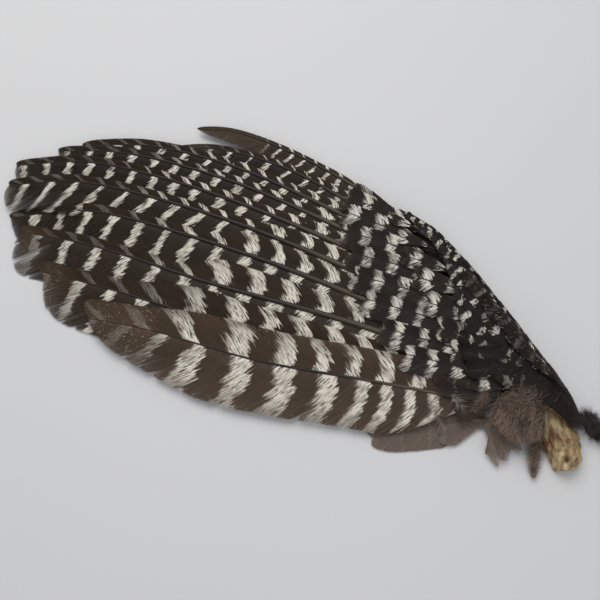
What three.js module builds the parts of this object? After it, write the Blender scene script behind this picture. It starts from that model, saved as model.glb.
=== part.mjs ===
// Dried turkey wing: the hand section of a left wing, cut at the wrist and laid flat, upper side up.
// Millimetres, +Z up. -X points to the feather tips, +Y to the leading edge, and the wing lies on z = 0.
import * as THREE from 'three';

// ---- driving dimensions ------------------------------------------------------------------------

const CENTRE = { x: -5.6, y: 3.2 };    // middle of the wing's box, taken off every point below

// Height of the layers. Every feather is a thin sheet tilted about its own shaft, so that its outer
// vane lies on the inner vane of the next feather out.
const TILT = 0.1;                      // rise per millimetre across a feather
const UNDER_TILT = 0.06;               // the same for the feathers that lie below
const CAMBER = 0.0012;                 // fall towards both edges, per square millimetre
const TIP_HEIGHT = 5.0;                // shafts above the ground at the feather tips
const ARCH_HEIGHT = 3.0;               // extra height at the middle of the wing
const HAND_HEIGHT = 6.4;               // quills above the ground at the hand
const TIP_X = -205;
const HAND_X = 135;

const VANE = 0.3;                      // half the thickness of a vane at its shaft
const VANE_EDGE = 0.2;                 // half the thickness of a vane at its edge
const VANE_START = 34;                 // length over which a vane opens from the bare quill
const TIP_DENSITY = 1.6;               // how much closer the sections stand near a feather's tip
const BARB_ANGLE = { base: 52, tip: 36 };   // degrees between a barb and its shaft

// Ten primaries, from the innermost, which lies on top, to the outermost at the leading edge.
// shaft: points along it, root first. outer: vane width at the hand, before and after the step where
// the vane narrows, and at the tip. step: the middle of that narrowing and half its length, from the
// root. inner: the same widths. closing: how far from the tip each vane starts to round off.
const PRIMARIES = [
  { shaft: [[151, -78], [57, -60], [-27, -45], [-96, -25], [-143, -15]], lift: 2.6,
    outer: [19, 24, 14, 13.5], step: [218, 45], inner: [33, 34, 34, 34], closing: [22, 145],
    roundness: [0.6, 0.9], quill: 1.4, notches: [[243, 0.12], [216, 0.14], [170, 0.08], [120, 0.1]] },
  { shaft: [[145, -67], [44, -42], [-51, -19], [-127, 5], [-179, 19]], lift: 0,
    outer: [7.5, 22, 8.6, 8.3], step: [235, 45], inner: [30, 33, 34, 34], closing: [16, 84],
    roundness: [0.6, 1.25], quill: 2.2, notches: [[262, 0.07]] },
  { shaft: [[138, -55], [41, -20], [-59, 9], [-139, 36], [-195, 48]], lift: 0,
    outer: [7, 20, 7, 5.5], step: [206, 26], inner: [28, 33, 34, 34], closing: [16, 68],
    roundness: [0.6, 1.0], quill: 2.7, notches: [[322, 0.7], [296, 0.08]] },
  { shaft: [[130, -41], [35, 2], [-56, 37], [-146, 63], [-204, 59]], lift: 0,
    outer: [9, 16, 6, 5], step: [190, 24], inner: [26, 30, 30, 29], closing: [18, 68],
    roundness: [0.6, 1.1], quill: 2.7, notches: [[318, 0.1]] },
  { shaft: [[120, -23], [34, 20], [-58, 58], [-149, 84], [-206, 83]], lift: 0,
    outer: [9, 11, 5.5, 5], step: [150, 22], inner: [24, 28, 28, 27], closing: [18, 66],
    roundness: [0.6, 0.75], quill: 2.6, notches: [[316, 0.1]] },
  { shaft: [[110, -4], [29, 37], [-61, 75], [-143, 99], [-202, 98]], lift: -0.1,
    outer: [7, 8.5, 5.5, 4.5], step: [122, 22], inner: [22, 25, 25, 23], closing: [18, 62],
    roundness: [0.6, 0.85], quill: 2.4, notches: [[296, 0.1]] },
  { shaft: [[102, 11], [34, 47], [-47, 84], [-121, 106], [-173, 109]], lift: -0.3,
    outer: [5.6, 7, 5, 4], step: [104, 20], inner: [20, 22, 18, 16], closing: [18, 52],
    roundness: [0.6, 0.9], quill: 2.3, notches: [] },
  { shaft: [[94, 25], [33, 58], [-42, 94], [-106, 112], [-156, 113]], lift: -0.9,
    outer: [5.6, 7.5, 5, 4.5], step: [92, 20], inner: [18, 20, 16, 13], closing: [20, 50],
    roundness: [0.6, 0.9], quill: 2.1, notches: [] },
  { shaft: [[87, 39], [47, 62], [-6, 93], [-55, 109], [-92, 110]], lift: -1.8,
    outer: [5.6, 6.5, 4, 3], step: [76, 20], inner: [16, 17, 13, 11], closing: [20, 46],
    roundness: [0.6, 0.9], quill: 1.8, notches: [] },
  { shaft: [[80, 53], [49, 75], [0, 104], [-43, 122], [-74, 126]], lift: -2.2,
    outer: [4, 4, 2.8, 2.4], step: [60, 20], inner: [14, 15, 12, 10], closing: [16, 60],
    roundness: [0.6, 0.9], quill: 1.6, notches: [[96, 0.12], [131, 0.12]] },
];

// Greater primary coverts, one over the quill of each primary, innermost first: root, middle, tip.
const GREATER_COVERTS = [
  [[146, -73], [119, -67], [90, -62]],
  [[141, -60], [109, -50], [71, -41]],
  [[136, -48], [99, -35], [57, -23]],
  [[128, -33], [89, -16], [46, -3]],
  [[119, -16], [80, 2], [39, 14]],
  [[109, 2], [74, 19], [36, 30]],
  [[101, 16], [69, 34], [34, 45]],
  [[93, 30], [66, 46], [34, 59]],
  [[86, 43], [63, 58], [35, 71]],
  [[74, 55], [58, 65], [39, 76]],
];
const GREATER = {
  outer: 7, inner: 12, quill: 0.9, lift: [6.4, 6.2, 5.2, 4.9, 4.7, 4.7, 4.7, 4.5, 4.2, 3.0],
};

// Median coverts, a shorter row over the roots of the greater ones, innermost first.
const MEDIAN_COVERTS = [
  [[151, -62], [133, -60], [112, -57]],
  [[145, -48], [125, -45], [103, -40]],
  [[137, -33], [117, -29], [95, -24]],
  [[129, -17], [109, -12], [87, -6]],
  [[119, -1], [101, 6], [80, 12]],
  [[106, 15], [91, 21], [73, 27]],
  [[92, 32], [82, 37], [69, 41]],
  [[83, 46], [75, 50], [64, 54]],
];
const MEDIAN = { outer: 9, inner: 10, quill: 0.7, lift: [9.2, 8.9, 8.4, 7.6, 7.2, 7.2, 7.2, 7.0] };

// Feathers under and behind the innermost primary, at the wrist end. opens: distance along the quill
// at which the inner vane opens.
const TRAILING_FEATHERS = [
  { name: 'under_covert_long', shaft: [[151, -86], [100, -89], [48, -95]], outer: 9, inner: 12,
    quill: 0.7, height: 1.7, closing: [14, 44], opens: 42 },
  { name: 'under_covert_short', shaft: [[152, -86], [124, -87], [93, -93]], outer: 6, inner: 8.5,
    quill: 0.6, height: 3.2, closing: [10, 20], opens: 38 },
  { name: 'wrist_covert_curved', shaft: [[136, -76], [123, -86], [125, -95], [122.5, -106]], outer: 2,
    inner: 10, quill: 0.5, height: 4.7, closing: [6, 24] },
  { name: 'wrist_covert_straight', shaft: [[136, -72], [131.5, -84], [138, -103]], outer: 8, inner: 8,
    quill: 0.5, height: 6.2, closing: [14, 14] },
  { name: 'wrist_down_feather', shaft: [[156, -97], [153, -108], [152, -121]], outer: 3.5, inner: 4.5,
    quill: 0.7, height: 4.0, closing: [10, 18] },
];

// Under coverts, flat below the quills: root, middle, tip.
const UNDER_COVERTS = [
  [[142, -62], [108, -57], [72, -50]],
  [[133, -46], [100, -37], [63, -25]],
  [[124, -30], [91, -18], [55, -3]],
  [[114, -12], [83, 2], [50, 18]],
  [[104, 6], [77, 20], [47, 36]],
  [[96, 20], [71, 36], [45, 52]],
  [[86, 37], [66, 51], [45, 66]],
];
const UNDER = { outer: 7, inner: 11, quill: 0.7, height: 1.9 };

// The hand: bones and dried skin from the cut wrist to the finger tip. across and tall are its
// half width and its height at each point of the line.
const HAND = {
  line: [
    [173, -116], [172, -101], [162, -80], [149, -57], [137, -36],
    [126, -15], [114, 7], [102, 27], [91, 44],
  ],
  across: [8, 12, 9.5, 7, 6.5, 6, 5.5, 5, 3.5],
  tall: [15, 19, 14.5, 12, 11.5, 11.2, 10.8, 10, 8],
};

// The coat of small marginal coverts over the front of the hand. front and back are its reach from
// the line of the hand towards the leading edge and over the median coverts.
const COAT = {
  line: [
    [167, -91], [162, -78], [153, -64], [142, -48], [132, -28],
    [121, -8], [110, 12], [99, 30], [89, 45], [77, 57],
  ],
  front: [20, 21, 22, 22, 19, 16, 13, 10, 7, 3],
  back: [1.5, 2.5, 9, 18, 20, 17, 8, 3, 2, 2],
  top: [21, 21, 20.6, 20.2, 19.6, 19, 18.4, 16.6, 14.5, 12.6],
  skin: 2.2,                           // thickness of the coat over what it lies on
};

const ALULA = [
  { shaft: [[163, -49], [139, -20], [111, 15]], outer: 3, inner: 7, quill: 0.9, lift: 2.4 },
  { shaft: [[168, -58], [149, -33], [126, -5]], outer: 3, inner: 8, quill: 0.9, lift: 4.1 },
  { shaft: [[172, -66], [158, -48], [141, -28]], outer: 3, inner: 8, quill: 0.9, lift: 5.9 },
];
const GROUND_GAP = 0.3;

const DOWN_TUFT = { centre: [139, -83], radius: [14.5, 11], bottom: 14.8, height: 4.5, turn: -25 };
const BRISTLE_TUFT = { centre: [192.4, -87.5], radius: [4.6, 10], bottom: 1.5, height: 13, turn: 25 };

// ---- curves and heights ------------------------------------------------------------------------

const lerp = THREE.MathUtils.lerp;
const smoothstep = THREE.MathUtils.smoothstep;

// Height of a shaft over the ground: low at the tips, arched in the middle, level at the hand.
function shaftHeight(x) {
  const along = THREE.MathUtils.clamp((x - TIP_X) / (HAND_X - TIP_X), 0, 1);
  return lerp(TIP_HEIGHT, HAND_HEIGHT, along) + ARCH_HEIGHT * Math.sin(Math.PI * along) ** 2;
}

function curveThrough(points) {
  const vectors = points.map(([x, y]) => new THREE.Vector3(x, y, 0));
  const curve = new THREE.CatmullRomCurve3(vectors, false, 'catmullrom', 0.5);
  curve.arcLengthDivisions = 400;
  return curve;
}

// A value given at evenly spaced points of a line, read between them.
function valueAlong(values, u) {
  const place = THREE.MathUtils.clamp(u, 0, 1) * (values.length - 1);
  const index = Math.min(Math.floor(place), values.length - 2);
  return lerp(values[index], values[index + 1], place - index);
}

// Width of one vane at a distance from the root: it starts past the bare quill, narrows at the step
// and closes at the tip.
function vaneWidth(side, distance, length, bare) {
  const { widths, step, closing, roundness } = side;
  const narrowing = smoothstep(distance, step[0] - step[1], step[0] + step[1]);
  const before = lerp(widths[0], widths[1], Math.min(1, distance / step[0]));
  const after = lerp(widths[2], widths[3], Math.max(0, (distance - step[0]) / (length - step[0])));
  const start = Math.sqrt(smoothstep(distance, bare, bare + VANE_START));
  const end = Math.max(0, 1 - (length - distance) / closing);
  return lerp(before, after, narrowing) * start * (1 - end ** 2) ** roundness;
}

// ---- solids ------------------------------------------------------------------------------------

// A closed solid from rings of points: quads between neighbouring rings and a fan over each end.
function loft(rings) {
  const size = rings[0].length;
  const positions = rings.flat(2);
  const indices = [];
  for (let ring = 0; ring < rings.length - 1; ring += 1) {
    for (let i = 0; i < size; i += 1) {
      const next = (i + 1) % size;
      const a = ring * size + i;
      const b = ring * size + next;
      indices.push(a, b, b + size, a, b + size, a + size);
    }
  }
  const last = (rings.length - 1) * size;
  for (let i = 1; i < size - 1; i += 1) {
    indices.push(0, i + 1, i);
    indices.push(last, last + i, last + i + 1);
  }
  const geometry = new THREE.BufferGeometry();
  geometry.setAttribute('position', new THREE.Float32BufferAttribute(positions, 3));
  geometry.setIndex(indices);
  if (signedVolume(geometry) < 0) {
    geometry.index.array.reverse();
  }
  return geometry;
}

function signedVolume(geometry) {
  const position = geometry.attributes.position;
  const index = geometry.index.array;
  const [a, b, c] = [new THREE.Vector3(), new THREE.Vector3(), new THREE.Vector3()];
  let volume = 0;
  for (let i = 0; i < index.length; i += 3) {
    a.fromBufferAttribute(position, index[i]);
    b.fromBufferAttribute(position, index[i + 1]);
    c.fromBufferAttribute(position, index[i + 2]);
    volume += a.dot(b.cross(c)) / 6;
  }
  return volume;
}

// One feather: a shaft with a vane on each side. Its edges stand forward of the shaft points that
// their barbs grow from. heightOf gives the height of the layer that the feather belongs to.
function feather({ shaft, outer, inner, quill, bare, notches = [], heightOf, tilt = TILT, rings = 18 }) {
  const curve = curveThrough(shaft);
  const length = curve.getLength();
  const spread = (i) => length * (1 - (1 - i / (rings - 1)) ** TIP_DENSITY);
  const distances = new Set(Array.from({ length: rings }, (_, i) => spread(i)));
  for (const [place] of notches) {
    [-2.5, 0, 2.5].forEach((offset) => distances.add(place + offset));
  }
  const sections = [...distances].sort((a, b) => a - b).map((distance) => {
    const u = distance / length;
    const point = curve.getPointAt(u);
    const along = curve.getTangentAt(u);
    const across = new THREE.Vector3(along.y, -along.x, 0);
    const angle = THREE.MathUtils.degToRad(lerp(BARB_ANGLE.base, BARB_ANGLE.tip, u));
    const radius = Math.max(0.35, quill * (1 - u) ** 0.75);
    const notch = notches.find(([place]) => Math.abs(place - distance) < 0.1);
    const keep = notch ? 1 - notch[1] : 1;
    const crown = VANE + radius * lerp(1, 0.95, u);
    const keel = lerp(radius, 0.45, smoothstep(distance, bare * 0.8, bare * 1.5));
    const at = (offset, forward, rise) => {
      const place = point.clone().addScaledVector(across, offset).addScaledVector(along, forward);
      const fall = CAMBER * offset ** 2;
      return [place.x, place.y, heightOf(place.x, place.y) + tilt * offset - fall + rise];
    };
    const edge = (side, sign) => {
      const width = vaneWidth(side, distance, length, bare) * (sign < 0 ? keep : 1);
      const forward = width > radius ? (width - radius) / Math.tan(angle) : 0;
      return [sign * Math.max(width, radius + 0.25), forward];
    };
    const [outerWidth, outerForward] = edge(outer, 1);
    const [innerWidth, innerForward] = edge(inner, -1);
    return [
      at(outerWidth, outerForward, VANE_EDGE),
      at(radius, 0, VANE),
      at(0, 0, crown),
      at(-radius, 0, VANE),
      at(innerWidth, innerForward, VANE_EDGE),
      at(innerWidth, innerForward, -VANE_EDGE),
      at(0, 0, -keel),
      at(outerWidth, outerForward, -VANE_EDGE),
    ];
  });
  return loft(sections);
}

function vane(widths, step, closing, roundness) {
  return { widths, step, closing, roundness };
}

function primary({ shaft, lift, outer, step, inner, closing, roundness, quill, notches }) {
  return feather({
    shaft,
    outer: vane(outer, step, closing[0], roundness[0]),
    inner: vane(inner, step, closing[1], roundness[1]),
    quill,
    bare: 34,
    notches,
    heightOf: (x) => shaftHeight(x) + lift,
    rings: 20,
  });
}

// A short feather with even vanes and a rounded tip.
function covert({ shaft, outer, inner, quill, closing = [12, 18], opens = 0, heightOf, tilt }) {
  const narrow = opens ? 1 : inner;
  return feather({
    shaft,
    outer: vane([outer, outer, outer, outer], [30, 10], closing[0], 0.5),
    inner: vane([narrow, narrow, inner, inner], opens ? [opens, 5] : [30, 10], closing[1], 0.6),
    quill,
    bare: 4,
    heightOf,
    tilt,
    rings: 9,
  });
}

function covertInRow(shaft, row, i) {
  return covert({ ...row, shaft, heightOf: (x) => shaftHeight(x) + row.lift[i] });
}

// ---- hand, coat and tufts ----------------------------------------------------------------------

// Sections across a line that starts at the wrist: section(u) gives offsets and heights, with
// positive offsets towards the leading edge.
function acrossLine(points, count, section) {
  const curve = curveThrough(points);
  const rings = Array.from({ length: count }, (_, i) => {
    const u = i / (count - 1);
    const point = curve.getPoint(u);
    const along = curve.getTangent(u);
    return section(u).map(([offset, height]) => [
      point.x + along.y * offset,
      point.y - along.x * offset,
      height,
    ]);
  });
  return loft(rings);
}

function hand() {
  const lumps = [0.8, 1, 0.93, 1.04, 0.96, 1];
  return acrossLine(HAND.line, 25, (u) => {
    const half = valueAlong(HAND.across, u);
    const tall = valueAlong(HAND.tall, u);
    const lump = valueAlong(lumps, Math.min(1, u * 4));
    const ring = [];
    for (let step = 0; step <= 8; step += 1) {
      const angle = (Math.PI * step) / 8;
      const height = GROUND_GAP + (tall * lump - GROUND_GAP) * Math.sin(angle) ** 0.8;
      ring.push([half * lump * Math.cos(angle), height]);
    }
    ring.push([-half * 0.75, 0], [half * 0.75, 0]);
    return ring;
  });
}

// Outer face of the coat at an offset from its line, rounded to the ground at the leading edge.
function coatTop(u, offset) {
  const top = valueAlong(COAT.top, u);
  const reach = offset > 0 ? valueAlong(COAT.front, u) : valueAlong(COAT.back, u);
  const share = Math.min(1, Math.abs(offset) / reach);
  const fall = offset > 0 ? (1 - share ** 2.2) ** 0.5 : 1 - 0.05 * share ** 2;
  return GROUND_GAP + 2.5 + (top - GROUND_GAP - 2.5) * fall;
}

function coat() {
  const shares = [1, 0.93, 0.78, 0.5, 0.2, 0, -0.4, -0.75, -1];
  return acrossLine(COAT.line, 20, (u) => {
    const front = valueAlong(COAT.front, u);
    const back = valueAlong(COAT.back, u);
    const offsets = shares.map((share) => share * (share > 0 ? front : back));
    const outer = offsets.map((offset) => [offset, coatTop(u, offset)]);
    const inner = offsets.slice(1).reverse().map((offset) => [offset, coatTop(u, offset) - COAT.skin]);
    return [...outer, ...inner, [front * 0.86, GROUND_GAP], [front, GROUND_GAP]];
  });
}

// Height of the coat's outer face over any point near the hand.
function coatHeightAt(x, y) {
  const curve = curveThrough(COAT.line);
  let best = { gap: Infinity, u: 0, offset: 0 };
  for (let i = 0; i <= 120; i += 1) {
    const u = i / 120;
    const point = curve.getPoint(u);
    const gap = Math.hypot(x - point.x, y - point.y);
    if (gap < best.gap) {
      const along = curve.getTangent(u);
      best = { gap, u, offset: (x - point.x) * along.y - (y - point.y) * along.x };
    }
  }
  return coatTop(best.u, best.offset);
}

// A lump of down: half an ellipsoid with an uneven top and a flat underside.
function tuft({ centre, radius, bottom, height, turn }) {
  const rings = [];
  const columns = 14;
  for (const [scale, rise] of [[1, 0], [1.02, 0.3], [0.86, 0.66], [0.58, 0.9], [0.22, 1]]) {
    const ring = [];
    for (let i = 0; i < columns; i += 1) {
      const angle = (2 * Math.PI * i) / columns;
      const lump = 1 + 0.07 * Math.sin(3 * angle + 5 * rise);
      ring.push([
        radius[0] * scale * lump * Math.cos(angle),
        radius[1] * scale * lump * Math.sin(angle),
        height * rise,
      ]);
    }
    rings.push(ring);
  }
  const geometry = loft(rings);
  geometry.rotateZ(THREE.MathUtils.degToRad(turn));
  geometry.translate(centre[0], centre[1], bottom);
  return geometry;
}

// ---- assembly ----------------------------------------------------------------------------------

const barredVane = new THREE.MeshStandardMaterial({ color: 0x4a4038, roughness: 0.55, metalness: 0 });
const covertVane = new THREE.MeshStandardMaterial({ color: 0x3d342e, roughness: 0.6, metalness: 0 });
const greyVane = new THREE.MeshStandardMaterial({ color: 0x6b5f55, roughness: 0.7, metalness: 0 });
const darkCoat = new THREE.MeshStandardMaterial({ color: 0x1e1a17, roughness: 0.5, metalness: 0 });
const driedSkin = new THREE.MeshStandardMaterial({ color: 0xb08a4e, roughness: 0.75, metalness: 0 });
const greyDown = new THREE.MeshStandardMaterial({ color: 0x5e544d, roughness: 0.95, metalness: 0 });

const wing = new THREE.Group();
wing.position.set(-CENTRE.x, -CENTRE.y, 0);

function add(name, geometry, material) {
  const mesh = new THREE.Mesh(geometry, material.clone());
  mesh.name = name;
  wing.add(mesh);
}

PRIMARIES.forEach((spec, i) => add(`primary_${i + 1}`, primary(spec), barredVane));
GREATER_COVERTS.forEach((shaft, i) => {
  add(`greater_covert_${i + 1}`, covertInRow(shaft, GREATER, i), covertVane);
});
MEDIAN_COVERTS.forEach((shaft, i) => {
  add(`median_covert_${i + 1}`, covertInRow(shaft, MEDIAN, i), covertVane);
});
ALULA.forEach((spec, i) => {
  const heightOf = (x, y) => coatHeightAt(x, y) + spec.lift;
  add(`alula_${i + 1}`, covert({ ...spec, heightOf, tilt: 0 }), darkCoat);
});
TRAILING_FEATHERS.forEach((spec) => {
  const heightOf = () => spec.height;
  add(spec.name, covert({ ...spec, heightOf, tilt: UNDER_TILT }), greyVane);
});
UNDER_COVERTS.forEach((shaft, i) => {
  const heightOf = () => UNDER.height;
  add(`under_covert_${i + 1}`, covert({ ...UNDER, shaft, heightOf, tilt: UNDER_TILT }), greyVane);
});
add('hand', hand(), driedSkin);
add('marginal_coverts', coat(), darkCoat);
add('down_tuft', tuft(DOWN_TUFT), greyDown);
add('bristle_tuft', tuft(BRISTLE_TUFT), greyDown);

export default wing;
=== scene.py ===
"""Looks of the dried turkey wing: feathers of single barbs, down, bristles and the cut wrist.

The forms repeat part.mjs: points are in its millimetres, before its group's shift.
"""

import bpy
import numpy as np
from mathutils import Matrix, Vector
from numpy.random import default_rng


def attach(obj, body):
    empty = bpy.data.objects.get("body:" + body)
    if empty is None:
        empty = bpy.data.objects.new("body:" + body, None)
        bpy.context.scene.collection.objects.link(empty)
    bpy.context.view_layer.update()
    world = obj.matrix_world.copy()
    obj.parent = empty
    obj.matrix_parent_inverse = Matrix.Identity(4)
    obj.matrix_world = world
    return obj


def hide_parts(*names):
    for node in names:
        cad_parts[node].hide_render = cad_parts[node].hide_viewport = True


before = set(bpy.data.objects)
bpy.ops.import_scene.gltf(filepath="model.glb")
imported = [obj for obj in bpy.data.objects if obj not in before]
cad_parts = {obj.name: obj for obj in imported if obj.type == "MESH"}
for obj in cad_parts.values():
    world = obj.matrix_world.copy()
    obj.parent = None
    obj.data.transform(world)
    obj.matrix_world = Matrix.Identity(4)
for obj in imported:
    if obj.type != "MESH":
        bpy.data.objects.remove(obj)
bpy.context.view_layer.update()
scene = bpy.context.scene
scene.view_settings.view_transform = "Standard"

# ---- dimensions shared with the part, in millimetres ----

MM = 0.001
SHIFT = np.array([5.6, -3.2, 0.0])  # the part's group position

TILT = 0.1  # rise of a vane for each millimetre from its shaft
UNDER_TILT = 0.06
CAMBER = 0.0012  # fall of a vane for the square of that distance
TIP_HEIGHT = 5.0
ARCH_HEIGHT = 3.0
HAND_HEIGHT = 6.4
TIP_X = -205
HAND_X = 135
VANE_START = 34  # length over which a vane widens from its root
QUILL_END = 0.3
STEP = (30, 10)  # middle and half length of the step in a short feather's vane
NO_BARS = (-0.6, -0.6)  # a white bar's half width, for vanes without bars
BARB_ANGLE = (52, 36)  # degrees between a barb and its shaft, at the root and at the tip
BARB_OVERLAP = 0.6  # half a barb's width over the step from barb to barb
NOTCH_REACH = 2.5  # how far a notch in a vane reaches along the shaft
GROUND_GAP = 0.3

# Ten primaries, innermost first. outer, inner: vane widths at the hand, before and after the step and
# at the tip. outer_bars, inner_bars: distance along the shaft and number of some of the white bars.
# brown: share of the length past which the vane turns brown and its bars fade, else 0.95. lean: slant
# of the inner bars. roundness: of the inner vane's tip, else 0.9. sink, fold: near the tips the fourth
# feather has slipped below the fifth's inner vane.
PRIMARIES = [
    dict(shaft=[(151, -78), (57, -60), (-27, -45), (-96, -25), (-143, -15)], lift=2.6,
         outer=(19, 24, 14, 13.5), step=(218, 45), inner=(33, 34, 34, 34), closing=(22, 145), quill=1.4,
         notches=[(243, 0.12), (216, 0.14), (170, 0.08), (120, 0.1)],
         outer_bars=[(29, -2), (75, 0), (162, 4), (228, 6), (290, 8)],
         inner_bars=[(62, 0), (110, 3), (132, 4), (222, 7), (298, 10)], brown=0.78, lean=0.75, slant=0.22),
    dict(shaft=[(145, -67), (44, -42), (-51, -19), (-127, 5), (-179, 19)], outer=(7.5, 22, 8.6, 8.3),
         step=(235, 45), inner=(30, 33, 34, 34), closing=(16, 84), roundness=1.25, quill=2.2,
         notches=[(262, 0.07)], outer_bars=[(32, 0), (125, 5), (194, 8), (249, 10), (320, 13)],
         inner_bars=[(236, 0), (306, 3)], brown=0.88, lean=0.15),
    dict(shaft=[(138, -55), (41, -20), (-59, 9), (-139, 36), (-195, 48)], outer=(7, 20, 7, 5.5),
         step=(206, 26), inner=(28, 33, 34, 34), closing=(16, 68), roundness=1.0, quill=2.7,
         notches=[(322, 0.7), (296, 0.08)], outer_bars=[(43, 0), (106, 3), (200, 7), (290, 11), (341, 14)],
         inner_bars=[(205, 0), (314, 5)], brown=0.9, lean=0.15),
    dict(shaft=[(130, -41), (35, 2), (-56, 37), (-146, 63), (-204, 59)], outer=(9, 16, 6, 5), step=(190, 24),
         inner=(26, 30, 30, 29), closing=(18, 68), roundness=1.1, quill=2.7, notches=[(318, 0.1)],
         outer_bars=[(24, 0), (61, 2), (102, 4), (198, 9), (346, 16)], inner_bars=[(200, 0), (336, 7)],
         lean=0.25, sink=1.8),
    dict(shaft=[(120, -23), (34, 20), (-58, 58), (-149, 84), (-206, 83)], outer=(9, 11, 5.5, 5),
         step=(150, 22), inner=(24, 28, 28, 27), closing=(18, 66), roundness=0.75, quill=2.6,
         notches=[(316, 0.1)], outer_bars=[(25, 0), (93, 4), (186, 9), (324, 18)],
         inner_bars=[(187, 0), (335, 8)], lean=0.6, fold=0.12),
    dict(shaft=[(110, -4), (29, 37), (-61, 75), (-143, 99), (-202, 98)], lift=-0.1, outer=(7, 8.5, 5.5, 4.5),
         step=(122, 22), inner=(22, 25, 25, 23), closing=(18, 62), roundness=0.85, quill=2.4,
         notches=[(296, 0.1)], outer_bars=[(46, 0), (108, 4), (191, 9), (307, 17)],
         inner_bars=[(146, 0), (200, 3), (327, 11)], lean=0.2),
    dict(shaft=[(102, 11), (34, 47), (-47, 84), (-121, 106), (-173, 109)], lift=-0.3, outer=(5.6, 7, 5, 4),
         step=(104, 20), inner=(20, 22, 18, 16), closing=(18, 52), quill=2.3,
         outer_bars=[(45, 0), (114, 4), (188, 9), (269, 14)], inner_bars=[(110, 0), (193, 5), (288, 11)],
         lean=0.3),
    dict(shaft=[(94, 25), (33, 58), (-42, 94), (-106, 112), (-156, 113)], lift=-0.9,
         outer=(5.6, 7.5, 5, 4.5), step=(92, 20), inner=(18, 20, 16, 13), closing=(20, 50), quill=2.1,
         outer_bars=[(35, 0), (106, 6), (250, 17)], inner_bars=[(101, 0), (176, 5), (261, 10)], lean=0.35),
    dict(shaft=[(87, 39), (47, 62), (-6, 93), (-55, 109), (-92, 110)], lift=-1.8, outer=(5.6, 6.5, 4, 3),
         step=(76, 20), inner=(16, 17, 13, 11), closing=(20, 46), quill=1.8,
         outer_bars=[(45, 0), (92, 5), (190, 14)], inner_bars=[(55, 0), (94, 3), (183, 9)], brown=0.8,
         lean=0.4),
    dict(shaft=[(80, 53), (49, 75), (0, 104), (-43, 122), (-74, 126)], lift=-2.2, outer=(4, 4, 2.8, 2.4),
         step=(60, 20), inner=(14, 15, 12, 10), closing=(16, 60), quill=1.6,
         notches=[(96, 0.12), (131, 0.12)], outer_bars=[(23, 0), (119, 10)], inner_bars=[(23, 0), (119, 10)],
         brown=0.63, lean=0.4),
]
WARMTH = [0.5, 0.3, 0.22, 0.12, 0.06, 0, 0, 0, 0, 0.3]

GREATER_COVERTS = [
    [(146, -73), (119, -67), (90, -62)], [(141, -60), (109, -50), (71, -41)],
    [(136, -48), (99, -35), (57, -23)], [(128, -33), (89, -16), (46, -3)],
    [(119, -16), (80, 2), (39, 14)], [(109, 2), (74, 19), (36, 30)],
    [(101, 16), (69, 34), (34, 45)], [(93, 30), (66, 46), (34, 59)],
    [(86, 43), (63, 58), (35, 71)], [(74, 55), (58, 65), (39, 76)],
]
GREATER_LIFT = [6.4, 6.2, 5.2, 4.9, 4.7, 4.7, 4.7, 4.5, 4.2, 3.0]
MEDIAN_COVERTS = [
    [(151, -62), (133, -60), (112, -57)], [(145, -48), (125, -45), (103, -40)],
    [(137, -33), (117, -29), (95, -24)], [(129, -17), (109, -12), (87, -6)],
    [(119, -1), (101, 6), (80, 12)], [(106, 15), (91, 21), (73, 27)],
    [(92, 32), (82, 37), (69, 41)], [(83, 46), (75, 50), (64, 54)],
]
MEDIAN_LIFT = [9.2, 8.9, 8.4, 7.6, 7.2, 7.2, 7.2, 7.0]

# closing: lengths over which the outer and inner vane round off. frayed: how far the barbs part.
TRAILING_FEATHERS = [
    dict(name="under_covert_long", shaft=[(151, -86), (100, -89), (48, -95)], outer=9, inner=12,
         quill=0.7, height=1.7, closing=(14, 44), opens=42),
    dict(name="under_covert_short", shaft=[(152, -86), (124, -87), (93, -93)], outer=6, inner=8.5,
         quill=0.6, height=3.2, closing=(10, 20), opens=38),
    dict(name="wrist_covert_curved", shaft=[(136, -76), (123, -86), (125, -95), (122.5, -106)],
         outer=2, inner=14, quill=0.5, height=4.7, closing=(6, 24), frayed=1.8),
    dict(name="wrist_covert_straight", shaft=[(136, -72), (131.5, -84), (138, -103)], outer=12, inner=10,
         quill=0.5, height=6.2, closing=(14, 14), frayed=1.8),
    dict(name="wrist_down_feather", shaft=[(156, -97), (153, -108), (152, -121)], outer=3.5, inner=4.5,
         quill=0.7, height=4.0, closing=(10, 18)),
]
UNDER_COVERTS = [
    [(142, -62), (108, -57), (72, -50)], [(133, -46), (100, -37), (63, -25)],
    [(124, -30), (91, -18), (55, -3)], [(114, -12), (83, 2), (50, 18)],
    [(104, 6), (77, 20), (47, 36)], [(96, 20), (71, 36), (45, 52)],
    [(86, 37), (66, 51), (45, 66)],
]
ALULA = [
    dict(shaft=[(163, -49), (139, -20), (111, 15)], inner=7, lift=2.4),
    dict(shaft=[(168, -58), (149, -33), (126, -5)], inner=8, lift=4.1),
    dict(shaft=[(172, -66), (158, -48), (141, -28)], inner=8, lift=5.9),
]
HAND = dict(
    line=[(173, -116), (172, -101), (162, -80), (149, -57), (137, -36), (126, -15), (114, 7), (102, 27),
          (91, 44)],
    across=[8, 12, 9.5, 7, 6.5, 6, 5.5, 5, 3.5],
    tall=[15, 19, 14.5, 12, 11.5, 11.2, 10.8, 10, 8],
    lumps=[0.8, 1, 0.93, 1.04, 0.96, 1],
)
COAT = dict(
    line=[(167, -91), (162, -78), (153, -64), (142, -48), (132, -28), (121, -8), (110, 12), (99, 30),
          (89, 45), (77, 57)],
    front=[20, 21, 22, 22, 19, 16, 13, 10, 7, 3],
    back=[1.5, 2.5, 9, 18, 20, 17, 8, 3, 2, 2],
    top=[21, 21, 20.6, 20.2, 19.6, 19, 18.4, 16.6, 14.5, 12.6],
)
DOWN_TUFT = dict(centre=(139, -83), radius=(14.5, 11), bottom=14.8, height=4.5, turn=-25)
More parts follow.
